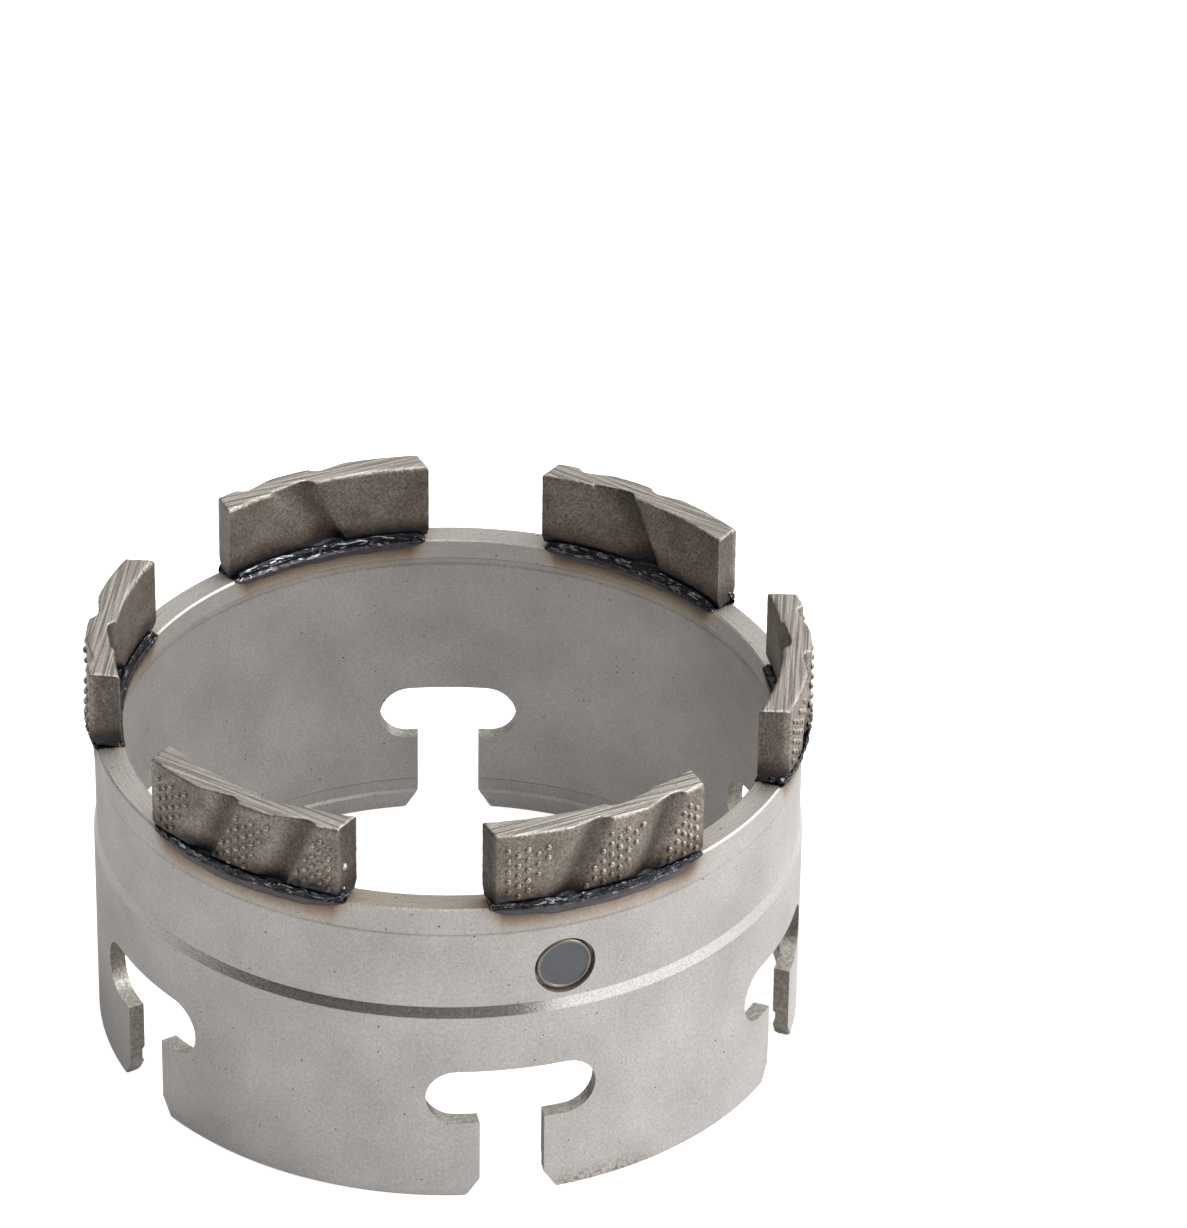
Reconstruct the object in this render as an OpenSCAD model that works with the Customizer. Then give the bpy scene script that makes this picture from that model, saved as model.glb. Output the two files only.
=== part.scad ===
// Removable crown of a dry core drill: a thin steel ring with six T slots for a
// bayonet fitting and six brazed diamond segments that stand on its rim.
// Origin: centre of the ring at its slotted end, +Z towards the cutting edge,
// -Y is the side that faces the viewer. Azimuths run from -Y towards +X.

/* [Ring] */
// Outer radius of the band at the rim
ring_r = 40; // [36:0.1:46]
// Height of the ring from the slotted end to the rim
ring_h = 38.2; // [34:0.1:46]
// Width of the rim face
rim_w = 3.05; // [2.6:0.05:3.4]
// Height of the band at the rim, outside
band_h = 3.3; // [2.4:0.1:4.5]
// Depth of the waist below the band
waist_cut = 0.12; // [0.05:0.01:0.3]
// Height of the lip inside the rim
lip_h = 2.4; // [2:0.1:3]
// Step from the lip out to the neck of the bore
lip_step = 0.2; // [0.1:0.05:0.4]
// Chamfer on the edges of the rim
rim_chamfer = 0.2; // [0.1:0.05:0.3]

/* [Sleeve] */
// How far the sleeve stands out past the band at the rim
sleeve_step = 0.2; // [0.1:0.05:0.4]
// Height of the sleeve, up to the turned cone
sleeve_h = 24; // [22:0.1:26]
// Height of the turned cone between sleeve and waist
cone_h = 1.3; // [0.8:0.1:2]
// Wall of the sleeve
sleeve_wall = 1.85; // [1.5:0.05:2.2]
// Height of the land inside the open end
land_h = 2.2; // [1.6:0.1:2.6]
// Height of the shallow groove above the land
groove_h = 2; // [1:0.1:3]
// Depth of that groove in the wall
groove_d = 0.3; // [0.05:0.05:0.4]
// Chamfer on the edges of the open end
foot_chamfer = 0.35; // [0.2:0.05:0.5]

/* [T slots] */
// Azimuth of each slot, in degrees
slot_az = [-56.5, 11.5, 70.5, 109, 181.5, 243];
// Width of the stem of a slot
stem_w = 7.2; // [5:0.1:9]
// Width of the head of a slot
head_w = 19; // [17:0.1:20]
// How much narrower the head of the slot on the far side is
rear_head_less = 2.8; // [0:0.1:4]
// Height of the head of a slot
head_h = 6.9; // [5:0.1:8]
// Height of the lower edge of the head
head_z = 10; // [7:0.1:12]
// Width of the flare at the mouth of a slot, each side
flare_w = 1.65; // [0.8:0.05:2.4]
// Height of that flare
flare_h = 2.45; // [1.2:0.05:3.5]

/* [Segments] */
// Azimuth of each segment, in degrees
seg_az = [26.5, 87, 145, 204.5, 264.5, 326.5];
// How far the segments stand out past the rim; they cut a hole of 82 mm
seg_out = 1; // [0.4:0.1:2]
// Length of a segment along the rim
seg_l = 25; // [18:0.1:30]
// Thickness of a segment
seg_t = 3.7; // [3.2:0.1:4.2]
// Height of a segment above the rim
seg_h = 9.6; // [7:0.1:13]
// Deepest line of each outer flute, from the middle of a segment at half its height
flute_x = [-2.4, 7.1];
// Deepest line of the inner flute, from the middle of a segment at half its height
inner_flute_x = 0.6; // [-6:0.1:8]
// Depth of the two outer flutes
flute_d = 1.05; // [0.5:0.05:1.3]
// Depth of the inner flute
inner_flute_d = 0.95; // [0.4:0.05:1.2]
// Radius of the round bottom of a flute
flute_r = 1.3; // [1.3:0.1:2.4]
// Length of the slope that leads into a flute
flute_ramp = 3.8; // [3:0.1:5]
// Lean of the flutes from upright, in degrees
flute_lean = 24; // [10:1:32]
// Bevel on the upright and top edges of a segment
seg_bevel = 0.3; // [0.1:0.05:0.5]
// Height of the bevelled foot of a segment
foot_h = 1.2; // [0.8:0.1:1.6]
// Bevel of the foot, outside
foot_out = 0.8; // [0.4:0.05:1]
// Bevel of the foot, inside
foot_in = 0.4; // [0.2:0.05:0.6]

/* [Braze] */
// Thickness of the joint under a segment
joint_t = 0.25; // [0.15:0.05:0.4]
// How far the outer bead runs down the ring
bead_drop = 1.5; // [1.2:0.1:2.4]
// How far the inner bead stands in from the lip
bead_in = 0.5; // [0.3:0.05:0.8]
// How far the bead runs past each end of a segment
bead_end = 0.8; // [0.4:0.1:1.4]

/* [Magnet] */
// Azimuth of the magnet, in degrees
magnet_az = 20; // [16:0.5:24]
// How far its centre lies below the rim
magnet_down = 8.75; // [8.2:0.05:9.2]
// Diameter of the magnet
magnet_d = 6.4; // [5:0.1:7]
// Thickness of the magnet
magnet_t = 1; // [0.8:0.05:1.2]
// Gap all round the magnet in its seat
magnet_gap = 0.3; // [0.1:0.05:0.4]
// Round on the front edge of the magnet
magnet_round = 0.45; // [0.2:0.05:0.6]
// How far the magnet lies below the wall around its seat
magnet_sink = 0.1; // [0:0.05:0.3]

/* [Hidden] */
$fn = 128;
eps = 0.5;

steel = [0.66, 0.65, 0.63];
matrix_metal = [0.46, 0.43, 0.4];
braze_metal = [0.2, 0.2, 0.22];
magnet_metal = [0.38, 0.39, 0.41];

rim_in_r = ring_r - rim_w;
waist_r = ring_r - waist_cut;
sleeve_r = ring_r + sleeve_step;
bore_r = sleeve_r - sleeve_wall;
neck_r = rim_in_r + lip_step;
groove_r = bore_r + groove_d;
groove_top = land_h + groove_h;
cone_top = sleeve_h + cone_h;
lip_z = ring_h - lip_h;
band_z = ring_h - band_h;

seg_out_r = ring_r + seg_out;
seg_in_r = seg_out_r - seg_t;
seg_z = ring_h + joint_t;
seg_top = ring_h + seg_h;
foot_z = seg_z + foot_h;
seg_mid_z = (foot_z + seg_top) / 2;
arc_half = 2 * asin((seg_l / 2 + bead_end) / seg_out_r);

// Depth from the ring's axis to the floor of the magnet's seat
seat_r = magnet_d / 2 + magnet_gap;
magnet_floor = sqrt(waist_r * waist_r - seat_r * seat_r) - magnet_sink - magnet_t;
magnet_z = ring_h - magnet_down;

// Width of the head of each slot
slot_head_w = [head_w, head_w, head_w, head_w, head_w - rear_head_less, head_w];

// Turned section of the ring, from the outside of the open end round to its bore
ring_section = [
    [sleeve_r - foot_chamfer, 0],
    [sleeve_r, foot_chamfer],
    [sleeve_r, sleeve_h],
    [waist_r, cone_top],
    [waist_r, band_z - waist_cut],
    [ring_r, band_z],
    [ring_r, ring_h - rim_chamfer],
    [ring_r - rim_chamfer, ring_h],
    [rim_in_r + rim_chamfer, ring_h],
    [rim_in_r, ring_h - rim_chamfer],
    [rim_in_r, lip_z],
    [neck_r, lip_z - lip_step],
    [bore_r, sleeve_h],
    [bore_r, groove_top],
    [groove_r, groove_top - groove_d],
    [groove_r, land_h + groove_d],
    [bore_r, land_h],
    [bore_r, foot_chamfer],
    [bore_r + foot_chamfer, 0]
];

// Section of a segment before its flutes are cut
segment_section = [
    [seg_in_r + foot_in, seg_z],
    [seg_out_r - foot_out, seg_z],
    [seg_out_r, foot_z],
    [seg_out_r, seg_top - seg_bevel],
    [seg_out_r - seg_bevel, seg_top],
    [seg_in_r + seg_bevel, seg_top],
    [seg_in_r, seg_top - seg_bevel],
    [seg_in_r, foot_z]
];

// Points of a bead, as shares of its width past the rim and of its drop below it
function bead_outside(out, down) = [ring_r + out * seg_out, ring_h - down * bead_drop];
function bead_inside(in, down) = [rim_in_r - in * bead_in, ring_h - down * bead_drop];

// Section of a braze bead: an outer fillet, the joint on the rim and an inner roll
bead_section = [
    bead_outside(0, 1),
    bead_outside(0.45, 0.72),
    bead_outside(0.8, 0.3),
    bead_outside(1, -0.25),
    [seg_out_r, foot_z],
    [seg_in_r, foot_z],
    bead_inside(0.5, -0.38),
    bead_inside(1, 0.1),
    bead_inside(0.9, 0.5),
    bead_inside(0, 0.9),
    [rim_in_r, ring_h - rim_chamfer],
    [rim_in_r + rim_chamfer, ring_h],
    [ring_r - rim_chamfer, ring_h],
    [ring_r, ring_h - rim_chamfer]
];

// Section of the low puddle past each end of a segment
puddle_section = [
    bead_outside(0, 0.55),
    bead_outside(0.4, 0.2),
    bead_outside(0, -0.35),
    bead_inside(0, -0.35),
    bead_inside(0.6, 0.2),
    bead_inside(0, 0.55),
    [rim_in_r, ring_h - rim_chamfer],
    [rim_in_r + rim_chamfer, ring_h],
    [ring_r - rim_chamfer, ring_h],
    [ring_r, ring_h - rim_chamfer]
];

// Turns what stands on -Y to an azimuth
module at_azimuth(az) {
    rotate([0, 0, az]) children();
}

// Turned section on the -Y side, with parallel ends
module block_of_section(section, half_l) {
    intersection() {
        rotate([0, 0, -90 - arc_half]) rotate_extrude(angle = 2 * arc_half) polygon(section);
        translate([-half_l, -seg_out_r - eps, 0]) cube([2 * half_l, seg_out_r, seg_top + eps]);
    }
}

// Outline of a T slot of one head width: round-ended head, stem and flared mouth
module t_slot_outline(width) {
    round_r = head_h / 2;
    reach = width / 2 - round_r;
    translate([-reach, head_z]) square([2 * reach, head_h]);
    for (side = [-1, 1]) translate([side * reach, head_z + round_r]) circle(round_r);
    translate([-stem_w / 2, -eps]) square([stem_w, head_z + round_r + eps]);
    polygon([
        [-stem_w / 2 - flare_w, -eps],
        [stem_w / 2 + flare_w, -eps],
        [stem_w / 2 + flare_w, 0],
        [stem_w / 2, flare_h],
        [-stem_w / 2, flare_h],
        [-stem_w / 2 - flare_w, 0]
    ]);
}

module t_slot(az, width) {
    start = bore_r - 3 * sleeve_wall;
    at_azimuth(az) translate([0, -start, 0]) rotate([90, 0, 0])
        linear_extrude(sleeve_r + eps - start) t_slot_outline(width);
}

module magnet_seat() {
    at_azimuth(magnet_az) translate([0, -magnet_floor, magnet_z]) rotate([90, 0, 0])
        cylinder(h = 4 * magnet_t, r = seat_r);
}

module crown_ring() {
    color(steel) difference() {
        rotate_extrude() polygon(ring_section);
        for (i = [0:len(slot_az) - 1]) t_slot(slot_az[i], slot_head_w[i]);
        magnet_seat();
    }
}

// Solid that cuts one leaning flute: a round bottom and the slope that leads into it.
// It runs along Z, its bottom touches y = depth and the material lies on +Y.
module flute_cutter(depth) {
    cy = depth - flute_r;
    reach = norm([flute_ramp, cy]);
    turn = atan2(-cy, -flute_ramp) - acos(flute_r / reach);
    length = 3 * seg_h;
    translate([0, cy, -length / 2]) cylinder(h = length, r = flute_r);
    translate([0, 0, -length / 2]) linear_extrude(length) polygon([
        [-flute_ramp, 0],
        [flute_r * cos(turn), cy + flute_r * sin(turn)],
        [0, cy],
        [0, cy - flute_r],
        [-flute_ramp, cy - flute_r]
    ]);
}

module outer_flute(x) {
    rotate([0, 0, asin(x / seg_out_r)]) translate([0, -seg_out_r, seg_mid_z])
        rotate([0, flute_lean, 0]) flute_cutter(flute_d);
}

module inner_flute(x) {
    rotate([0, 0, asin(x / seg_in_r)]) translate([0, -seg_in_r, seg_mid_z])
        rotate([0, flute_lean, 0]) rotate([0, 0, 180]) flute_cutter(inner_flute_d);
}

// Segment without flutes, standing on -Y
module segment_blank() {
    block_of_section(segment_section, seg_l / 2);
}

// Cuts the bevel of one upright edge, at the given side and radius
module edge_bevel(side, r) {
    translate([side * seg_l / 2, -sqrt(r * r - seg_l * seg_l / 4), foot_z]) rotate([0, 0, 45])
        linear_extrude(seg_h) square(sqrt(2) * seg_bevel, center = true);
}

module segment(az) {
    color(matrix_metal) at_azimuth(az) difference() {
        segment_blank();
        intersection() {
            union() {
                for (x = flute_x) outer_flute(x);
                inner_flute(inner_flute_x);
            }
            translate([-seg_l, -2 * seg_out_r, foot_z]) cube([2 * seg_l, 2 * seg_out_r, seg_h]);
        }
        for (side = [-1, 1], r = [seg_out_r, seg_in_r]) edge_bevel(side, r);
    }
}

module braze(az) {
    color(braze_metal) at_azimuth(az) difference() {
        union() {
            block_of_section(bead_section, seg_l / 2);
            block_of_section(puddle_section, seg_l / 2 + bead_end);
        }
        segment_blank();
    }
}

module magnet() {
    color(magnet_metal) at_azimuth(magnet_az)
        translate([0, -magnet_floor, magnet_z]) rotate([90, 0, 0]) rotate_extrude() {
            square([magnet_d / 2 - magnet_round, magnet_t]);
            square([magnet_d / 2, magnet_t - magnet_round]);
            translate([magnet_d / 2 - magnet_round, magnet_t - magnet_round]) circle(magnet_round);
        }
}

crown_ring();
segment(seg_az[0]);  // segment_1
segment(seg_az[1]);  // segment_2
segment(seg_az[2]);  // segment_3
segment(seg_az[3]);  // segment_4
segment(seg_az[4]);  // segment_5
segment(seg_az[5]);  // segment_6
braze(seg_az[0]);  // braze_1
braze(seg_az[1]);  // braze_2
braze(seg_az[2]);  // braze_3
braze(seg_az[3]);  // braze_4
braze(seg_az[4]);  // braze_5
braze(seg_az[5]);  // braze_6
magnet();
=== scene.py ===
import logging
import math
from dataclasses import dataclass
from enum import Enum

import bpy
from bpy.types import Material, Node, NodeSocket, NodeTree, Object
from mathutils import Matrix, Vector, noise

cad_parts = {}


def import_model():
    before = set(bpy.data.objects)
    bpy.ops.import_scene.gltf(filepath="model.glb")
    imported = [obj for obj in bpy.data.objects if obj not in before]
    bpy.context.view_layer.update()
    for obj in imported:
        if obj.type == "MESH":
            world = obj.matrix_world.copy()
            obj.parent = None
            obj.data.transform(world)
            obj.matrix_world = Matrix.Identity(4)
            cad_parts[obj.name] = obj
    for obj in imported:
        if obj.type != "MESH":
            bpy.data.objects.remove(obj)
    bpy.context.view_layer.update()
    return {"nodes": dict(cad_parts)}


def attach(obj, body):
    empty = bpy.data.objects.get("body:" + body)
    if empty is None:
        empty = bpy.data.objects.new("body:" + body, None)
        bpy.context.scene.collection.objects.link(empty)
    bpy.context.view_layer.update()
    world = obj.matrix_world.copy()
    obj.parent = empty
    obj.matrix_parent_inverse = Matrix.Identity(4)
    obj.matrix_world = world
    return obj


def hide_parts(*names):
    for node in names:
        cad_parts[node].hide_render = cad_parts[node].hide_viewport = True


LOG = logging.getLogger("crown")
UV_NAME = "face"
MM = 0.001
WELD = 1e-7


class Slot(Enum):
    """Material slots that the record names."""

    RING = "ring_steel"
    SEGMENT = "segment_metal"
    BRAZE = "braze_metal"
    MAGNET = "magnet_plating"


class Side(Enum):
    """The two faces of the ring's wall, as the sign of the way they look."""

    OUTSIDE = 1
    INSIDE = -1


def linear(code: str) -> tuple[float, float, float, float]:
    """Turn an sRGB hex colour to linear light.

    Args:
        code: Six hex digits after a hash sign.

    Returns:
        Red, green, blue and an alpha of one.
    """
    parts = [int(code[i : i + 2], 16) / 255 for i in (1, 3, 5)]
    light = [p / 12.92 if p <= 0.04045 else ((p + 0.055) / 1.055) ** 2.4 for p in parts]
    return (light[0], light[1], light[2], 1.0)


def colour_of(value: str | float) -> tuple[float, float, float, float]:
    """Give linear light for a hex colour, or a grey of so much light for a number."""
    return linear(value) if isinstance(value, str) else (value, value, value, 1.0)


def per(size_mm: float) -> float:
    """Give the scale of a pattern that repeats after so many millimetres."""
    return 1 / (size_mm * MM)


def feed(tree: NodeTree, node: Node, feeds: dict) -> None:
    """Link or set inputs of a node.

    Args:
        tree: The node tree.
        node: The node.
        feeds: For an input's name or number, the socket to link to it, its value or its hex colour.
    """
    for key, value in feeds.items():
        if isinstance(value, NodeSocket):
            tree.links.new(value, node.inputs[key])
        else:
            node.inputs[key].default_value = linear(value) if isinstance(value, str) else value


def add_node(tree: NodeTree, kind: str, feeds: dict | None = None, **settings: object) -> Node:
    """Add one node to a tree.

    Args:
        tree: The node tree.
        kind: The node's type, such as ShaderNodeMath.
        feeds: For an input's name or number, the socket to link to it or its value.
        settings: Attributes to set on the node.

    Returns:
        The node.
    """
    node = tree.nodes.new(kind)
    for name, value in settings.items():
        setattr(node, name, value)
    feed(tree, node, feeds or {})
    return node


@dataclass(frozen=True)
class Nodes:
    """A node tree, with a short way to add each node that comes up often."""

    tree: NodeTree

    def maths(self, operation: str, *terms: object) -> NodeSocket:
        """Work numbers out."""
        return add_node(self.tree, "ShaderNodeMath", dict(enumerate(terms)), operation=operation).outputs[0]

    def times(self, first: object, *others: object) -> NodeSocket:
        """Multiply numbers, from the left."""
        for other in others:
            first = self.maths("MULTIPLY", first, other)
        return first

    def vectors(self, operation: str, *terms: object) -> Node:
        """Work vectors out."""
        return add_node(self.tree, "ShaderNodeVectorMath", dict(enumerate(terms)), operation=operation)

    def scaled(self, vector: object, factor: object) -> NodeSocket:
        """Multiply a vector or a colour by a number."""
        feeds = {0: vector, "Scale": factor}
        return add_node(self.tree, "ShaderNodeVectorMath", feeds, operation="SCALE").outputs[0]

    def remap(self, value: object, given: tuple = (0.0, 1.0), wanted: tuple = (0.0, 1.0)) -> NodeSocket:
        """Map one range of values to another and hold it at the ends."""
        names = ("Value", "From Min", "From Max", "To Min", "To Max")
        feeds = dict(zip(names, (value, *given, *wanted)))
        return add_node(self.tree, "ShaderNodeMapRange", feeds).outputs[0]

    def span(self, value: object, start_mm: float, end_mm: float, wanted: tuple = (0.0, 1.0)) -> NodeSocket:
        """Map a range of millimetres to another range and hold it at the ends."""
        return self.remap(value, (start_mm * MM, end_mm * MM), wanted)

    def mix(self, share: object, first: object, second: object, way: str = "MIX") -> NodeSocket:
        """Mix two colours."""
        feeds = {0: share, 6: first, 7: second}
        return add_node(self.tree, "ShaderNodeMix", feeds, data_type="RGBA", blend_type=way).outputs[2]

    def noise(self, place: object, scale: float, **settings: float) -> NodeSocket:
        """Lay a cloudy noise from 0 to 1, with its detail, roughness and distortion."""
        feeds = {"Vector": place, "Scale": scale, **{name.title(): value for name, value in settings.items()}}
        return add_node(self.tree, "ShaderNodeTexNoise", feeds).outputs["Fac"]

    def ramp(self, value: object, stops: list[tuple[float, str | float]]) -> NodeSocket:
        """Turn a value to a colour.

        Args:
            value: The value.
            stops: Place of each stop and its hex colour or grey, in order.

        Returns:
            The colour.
        """
        node = add_node(self.tree, "ShaderNodeValToRGB", {"Fac": value})
        elements = node.color_ramp.elements
        while len(elements) > 1:
            elements.remove(elements[-1])
        elements[0].position, elements[0].color = stops[0][0], colour_of(stops[0][1])
        for place, colour in stops[1:]:
            elements.new(place).color = colour_of(colour)
        return node.outputs["Color"]

    def bump(self, height: object, strength: object, reach_mm: float) -> NodeSocket:
        """Turn heights to a bump."""
        feeds = {"Height": height, "Strength": strength, "Distance": reach_mm * MM}
        return add_node(self.tree, "ShaderNodeBump", feeds).outputs[0]

    def pits(
        self, place: object, size_mm: float, without: float, widest: float, strength: float = 1.0
    ) -> NodeSocket:
        """Scatter round pits of different sizes.

        Args:
            place: Where on the material a point is.
            size_mm: Distance of the cells that may each hold a pit.
            without: Share of the cells that hold none.
            widest: Radius of the widest pit, as a share of a cell.
            strength: What a pit gives.

        Returns:
            The strength in a pit and 0 elsewhere.
        """
        cells = add_node(self.tree, "ShaderNodeTexVoronoi", {"Vector": place, "Scale": per(size_mm)})
        lot = add_node(self.tree, "ShaderNodeSeparateColor", {0: cells.outputs["Color"]})
        size = self.remap(lot.outputs[0], (without, 1.0), (0.0, widest))
        gap = self.maths("SUBTRACT", size, cells.outputs["Distance"])
        return self.remap(gap, (0.0, 0.05), (0.0, strength))


def new_material(name: str) -> tuple[Material, NodeTree, Node]:
    """Make a material with nothing in it but a Principled shader.

    Args:
        name: The material's name.

    Returns:
        The material, its tree and its shader.
    """
    material = bpy.data.materials.new(name)
    material.use_nodes = True
    tree = material.node_tree
    tree.nodes.clear()
    shader = add_node(tree, "ShaderNodeBsdfPrincipled")
    add_node(tree, "ShaderNodeOutputMaterial", {"Surface": shader.outputs["BSDF"]})
    return material, tree, shader


def select_only(*objects: Object) -> None:
    """Select some objects and no others, the first as the active one."""
    bpy.ops.object.select_all(action="DESELECT")
    for obj in objects:
        obj.select_set(True)
    bpy.context.view_layer.objects.active = objects[0]


def join(*objects: Object) -> Object:
    """Join objects into the first."""
    select_only(*objects)
    bpy.ops.object.join()
    return objects[0]


def start_edit(obj: Object, mode: str = "FACE", chosen: str = "SELECT") -> None:
    """Open one object in edit mode.

    Args:
        obj: The object.
        mode: What is selected there, VERT, EDGE or FACE.
        chosen: SELECT for all of it or DESELECT for none.
    """
    select_only(obj)
    bpy.ops.object.mode_set(mode="EDIT")
    bpy.ops.mesh.select_mode(type=mode)
    bpy.ops.mesh.select_all(action=chosen)


def end_edit() -> None:
    """Go back to object mode."""
    bpy.ops.object.mode_set(mode="OBJECT")


def ball(segments: int, rings: int, radius_mm: float) -> Object:
    """Make a ball at the origin."""
    bpy.ops.object.select_all(action="DESELECT")
    bpy.ops.mesh.primitive_uv_sphere_add(
        segments=segments, ring_count=rings, radius=radius_mm * MM, location=(0, 0, 0)
    )
    return bpy.context.object


def rod(radius_mm: float, length_mm: float) -> Object:
    """Make a round rod along Z, centred on the origin."""
    bpy.ops.object.select_all(action="DESELECT")
    radius, depth = radius_mm * MM, length_mm * MM
    bpy.ops.mesh.primitive_cylinder_add(vertices=96, radius=radius, depth=depth, location=(0, 0, 0))
    return bpy.context.object


def slice_off(obj: Object, point: tuple, way: tuple, filled: bool = True) -> None:
    """Slice off what lies past a plane.

    Args:
        obj: The object.
        point: A point of the plane.
        way: The side that goes.
        filled: Whether the cut gets a face.
    """
    start_edit(obj)
    bpy.ops.mesh.bisect(plane_co=point, plane_no=way, use_fill=filled, clear_outer=True, threshold=WELD)
    end_edit()


def move(obj: Object, *steps: Matrix) -> None:
    """Move a mesh in its object, step by step."""
    for step in steps:
        obj.data.transform(step)


def turned(degrees: float, axis: str = "Z") -> Matrix:
    """Give a turn about an axis through the origin."""
    return Matrix.Rotation(math.radians(degrees), 4, axis)


def shifted(x: float, y: float, z: float) -> Matrix:
    """Give a shift, in millimetres."""
    return Matrix.Translation((x * MM, y * MM, z * MM))


def outline(name: str, points: list[tuple[float, float, float]], filled: bool) -> Object:
    """Make a closed outline from a circle whose corners are moved to their places.

    Args:
        name: The object's name.
        points: The corners, in metres.
        filled: Whether the outline has a face.

    Returns:
        The object, at the origin.
    """
    bpy.ops.object.select_all(action="DESELECT")
    fill = "NGON" if filled else "NOTHING"
    bpy.ops.mesh.primitive_circle_add(vertices=len(points), fill_type=fill, location=(0, 0, 0))
    obj = bpy.context.object
    obj.name = name
    for vertex, point in zip(obj.data.vertices, points):
        vertex.co = point
    obj.data.update()
    return obj


def prism(name: str, points: list[tuple[float, float, float]], way: Vector) -> Object:
    """Extrude a filled outline.

    Args:
        name: The object's name.
        points: The corners of its base, in metres.
        way: How far and where it is extruded.

    Returns:
        The object, at the origin, with its faces outwards.
    """
    obj = outline(name, points, True)
    start_edit(obj)
    bpy.ops.mesh.extrude_region_move(TRANSFORM_OT_translate={"value": way})
    bpy.ops.mesh.select_all(action="SELECT")
    bpy.ops.mesh.normals_make_consistent(inside=False)
    end_edit()
    return obj


def turn(section: list[tuple[float, float]], name: str, half: float, steps: int) -> Object:
    """Spin a closed section round the Z axis.

    Args:
        section: Radius and height of its corners, in metres.
        name: The object's name.
        half: Half of the angle, centred on -Y; a whole turn if it is pi.
        steps: Number of steps in the spin.

    Returns:
        The closed solid, with its faces outwards.
    """
    start = -math.pi / 2 + half
    points = [(r * math.cos(start), r * math.sin(start), z) for r, z in section]
    obj = outline(name, points, False)
    start_edit(obj, "VERT")
    bpy.ops.mesh.spin(steps=steps, angle=2 * half, center=(0, 0, 0), axis=(0, 0, 1), use_auto_merge=False)
    bpy.ops.mesh.select_all(action="SELECT")
    if half >= math.pi:
        bpy.ops.mesh.remove_doubles(threshold=WELD)
    else:
        bpy.ops.mesh.fill_holes(sides=0)
    bpy.ops.mesh.select_all(action="SELECT")
    bpy.ops.mesh.normals_make_consistent(inside=False)
    end_edit()
    return obj


def apply_modifiers(obj: Object) -> None:
    """Apply every modifier of an object, from the top."""
    select_only(obj)
    for modifier in list(obj.modifiers):
        bpy.ops.object.modifier_apply(modifier=modifier.name)


def cut(obj: Object, tools: list[Object]) -> None:
    """Cut solids out of an object and remove them.

    Args:
        obj: What is cut.
        tools: The solids that cut it.
    """
    for tool in tools:
        modifier = obj.modifiers.new("cut", "BOOLEAN")
        modifier.operation = "DIFFERENCE"
        modifier.solver = "EXACT"
        modifier.object = tool
        apply_modifiers(obj)
        bpy.data.objects.remove(tool)


def duplicate(obj: Object, name: str, azimuth: float) -> Object:
    """Copy an object with a mesh of its own and turn the copy round the ring's axis.

    Args:
        obj: The original, standing on -Y.
        name: The copy's name.
        azimuth: Its azimuth, in degrees.

    Returns:
        The copy, at the origin and unturned.
    """
    copy = obj.copy()
    copy.data = obj.data.copy()
    copy.name = name
    bpy.context.scene.collection.objects.link(copy)
    move(copy, turned(azimuth))
    return copy


def shade(obj: Object, degrees: float) -> None:
    """Shade an object smoothly, with sharp edges above an angle."""
    select_only(obj)
    bpy.ops.object.shade_smooth_by_angle(angle=math.radians(degrees))


def hand_over(obj: Object, node: str | None, material: Material) -> None:
    """Dress a finished piece and put it in the place of its solid.

    Args:
        obj: The piece.
        node: The solid that it stands for, if any.
        material: Its material.
    """
    obj.data.materials.clear()
    obj.data.materials.append(material)
    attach(obj, "root")
    if node:
        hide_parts(node)
    LOG.info("%s: %d faces, %s", obj.name, len(obj.data.polygons), material.name)


# Sizes in millimetres and azimuths in degrees, counted from -Y towards +X
RIM_R = 40.0
RIM_IN_R = 36.95
RIM_Z = 38.2
BLOCK_OUT_R = 40.68
BLOCK_IN_R = 37.3
SEGMENT_HALF = 12.5
SEGMENT_AZIMUTHS = (26.5, 87.0, 145.0, 204.5, 264.5, 326.5)
MAGNET_AZIMUTH = 20.0
MAGNET_Z = 29.45
SEAT_FLOOR_R = 38.626


@dataclass(frozen=True)
class RingNodes(Nodes):
    """A material's nodes, with sockets that tell it where on the ring it is."""

    place: NodeSocket
    radius: NodeSocket
    height: NodeSocket
    azimuth: NodeSocket
    outward: NodeSocket
    upward: NodeSocket

    @staticmethod
    def make(tree: NodeTree) -> "RingNodes":
        """Work the sockets out from Object coordinates.

        Args:
            tree: The material's tree.

        Returns:
            Place, radius and height in metres, azimuth from -0.5 to 0.5 turn with 0 on -Y,
            and how far the surface looks away from the axis and up, from -1 to 1.
        """
        nodes = Nodes(tree)
        place = add_node(tree, "ShaderNodeTexCoord").outputs["Object"]
        flat = nodes.vectors("MULTIPLY", place, (1, 1, 0)).outputs[0]
        radius = nodes.vectors("LENGTH", flat).outputs["Value"]
        away = nodes.vectors("NORMALIZE", flat).outputs[0]
        normal = add_node(tree, "ShaderNodeNewGeometry").outputs["Normal"]
        outward = nodes.vectors("DOT_PRODUCT", away, normal).outputs["Value"]
        parts = add_node(tree, "ShaderNodeSeparateXYZ", {0: place})
        upward = add_node(tree, "ShaderNodeSeparateXYZ", {0: normal}).outputs["Z"]
        angle = nodes.maths("ARCTAN2", parts.outputs["X"], nodes.times(parts.outputs["Y"], -1.0))
        azimuth = nodes.maths("DIVIDE", angle, math.tau)
        return RingNodes(tree, place, radius, parts.outputs["Z"], azimuth, outward, upward)

    def above(self, height_mm: float) -> NodeSocket:
        """Give 1 above a height and 0 below it."""
        return self.maths("GREATER_THAN", self.height, height_mm * MM)

    def whole_azimuth(self) -> NodeSocket:
        """Give the azimuth from 0 to 1 turn, with 0.5 on -Y."""
        return self.maths("ADD", self.azimuth, 0.5)


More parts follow.
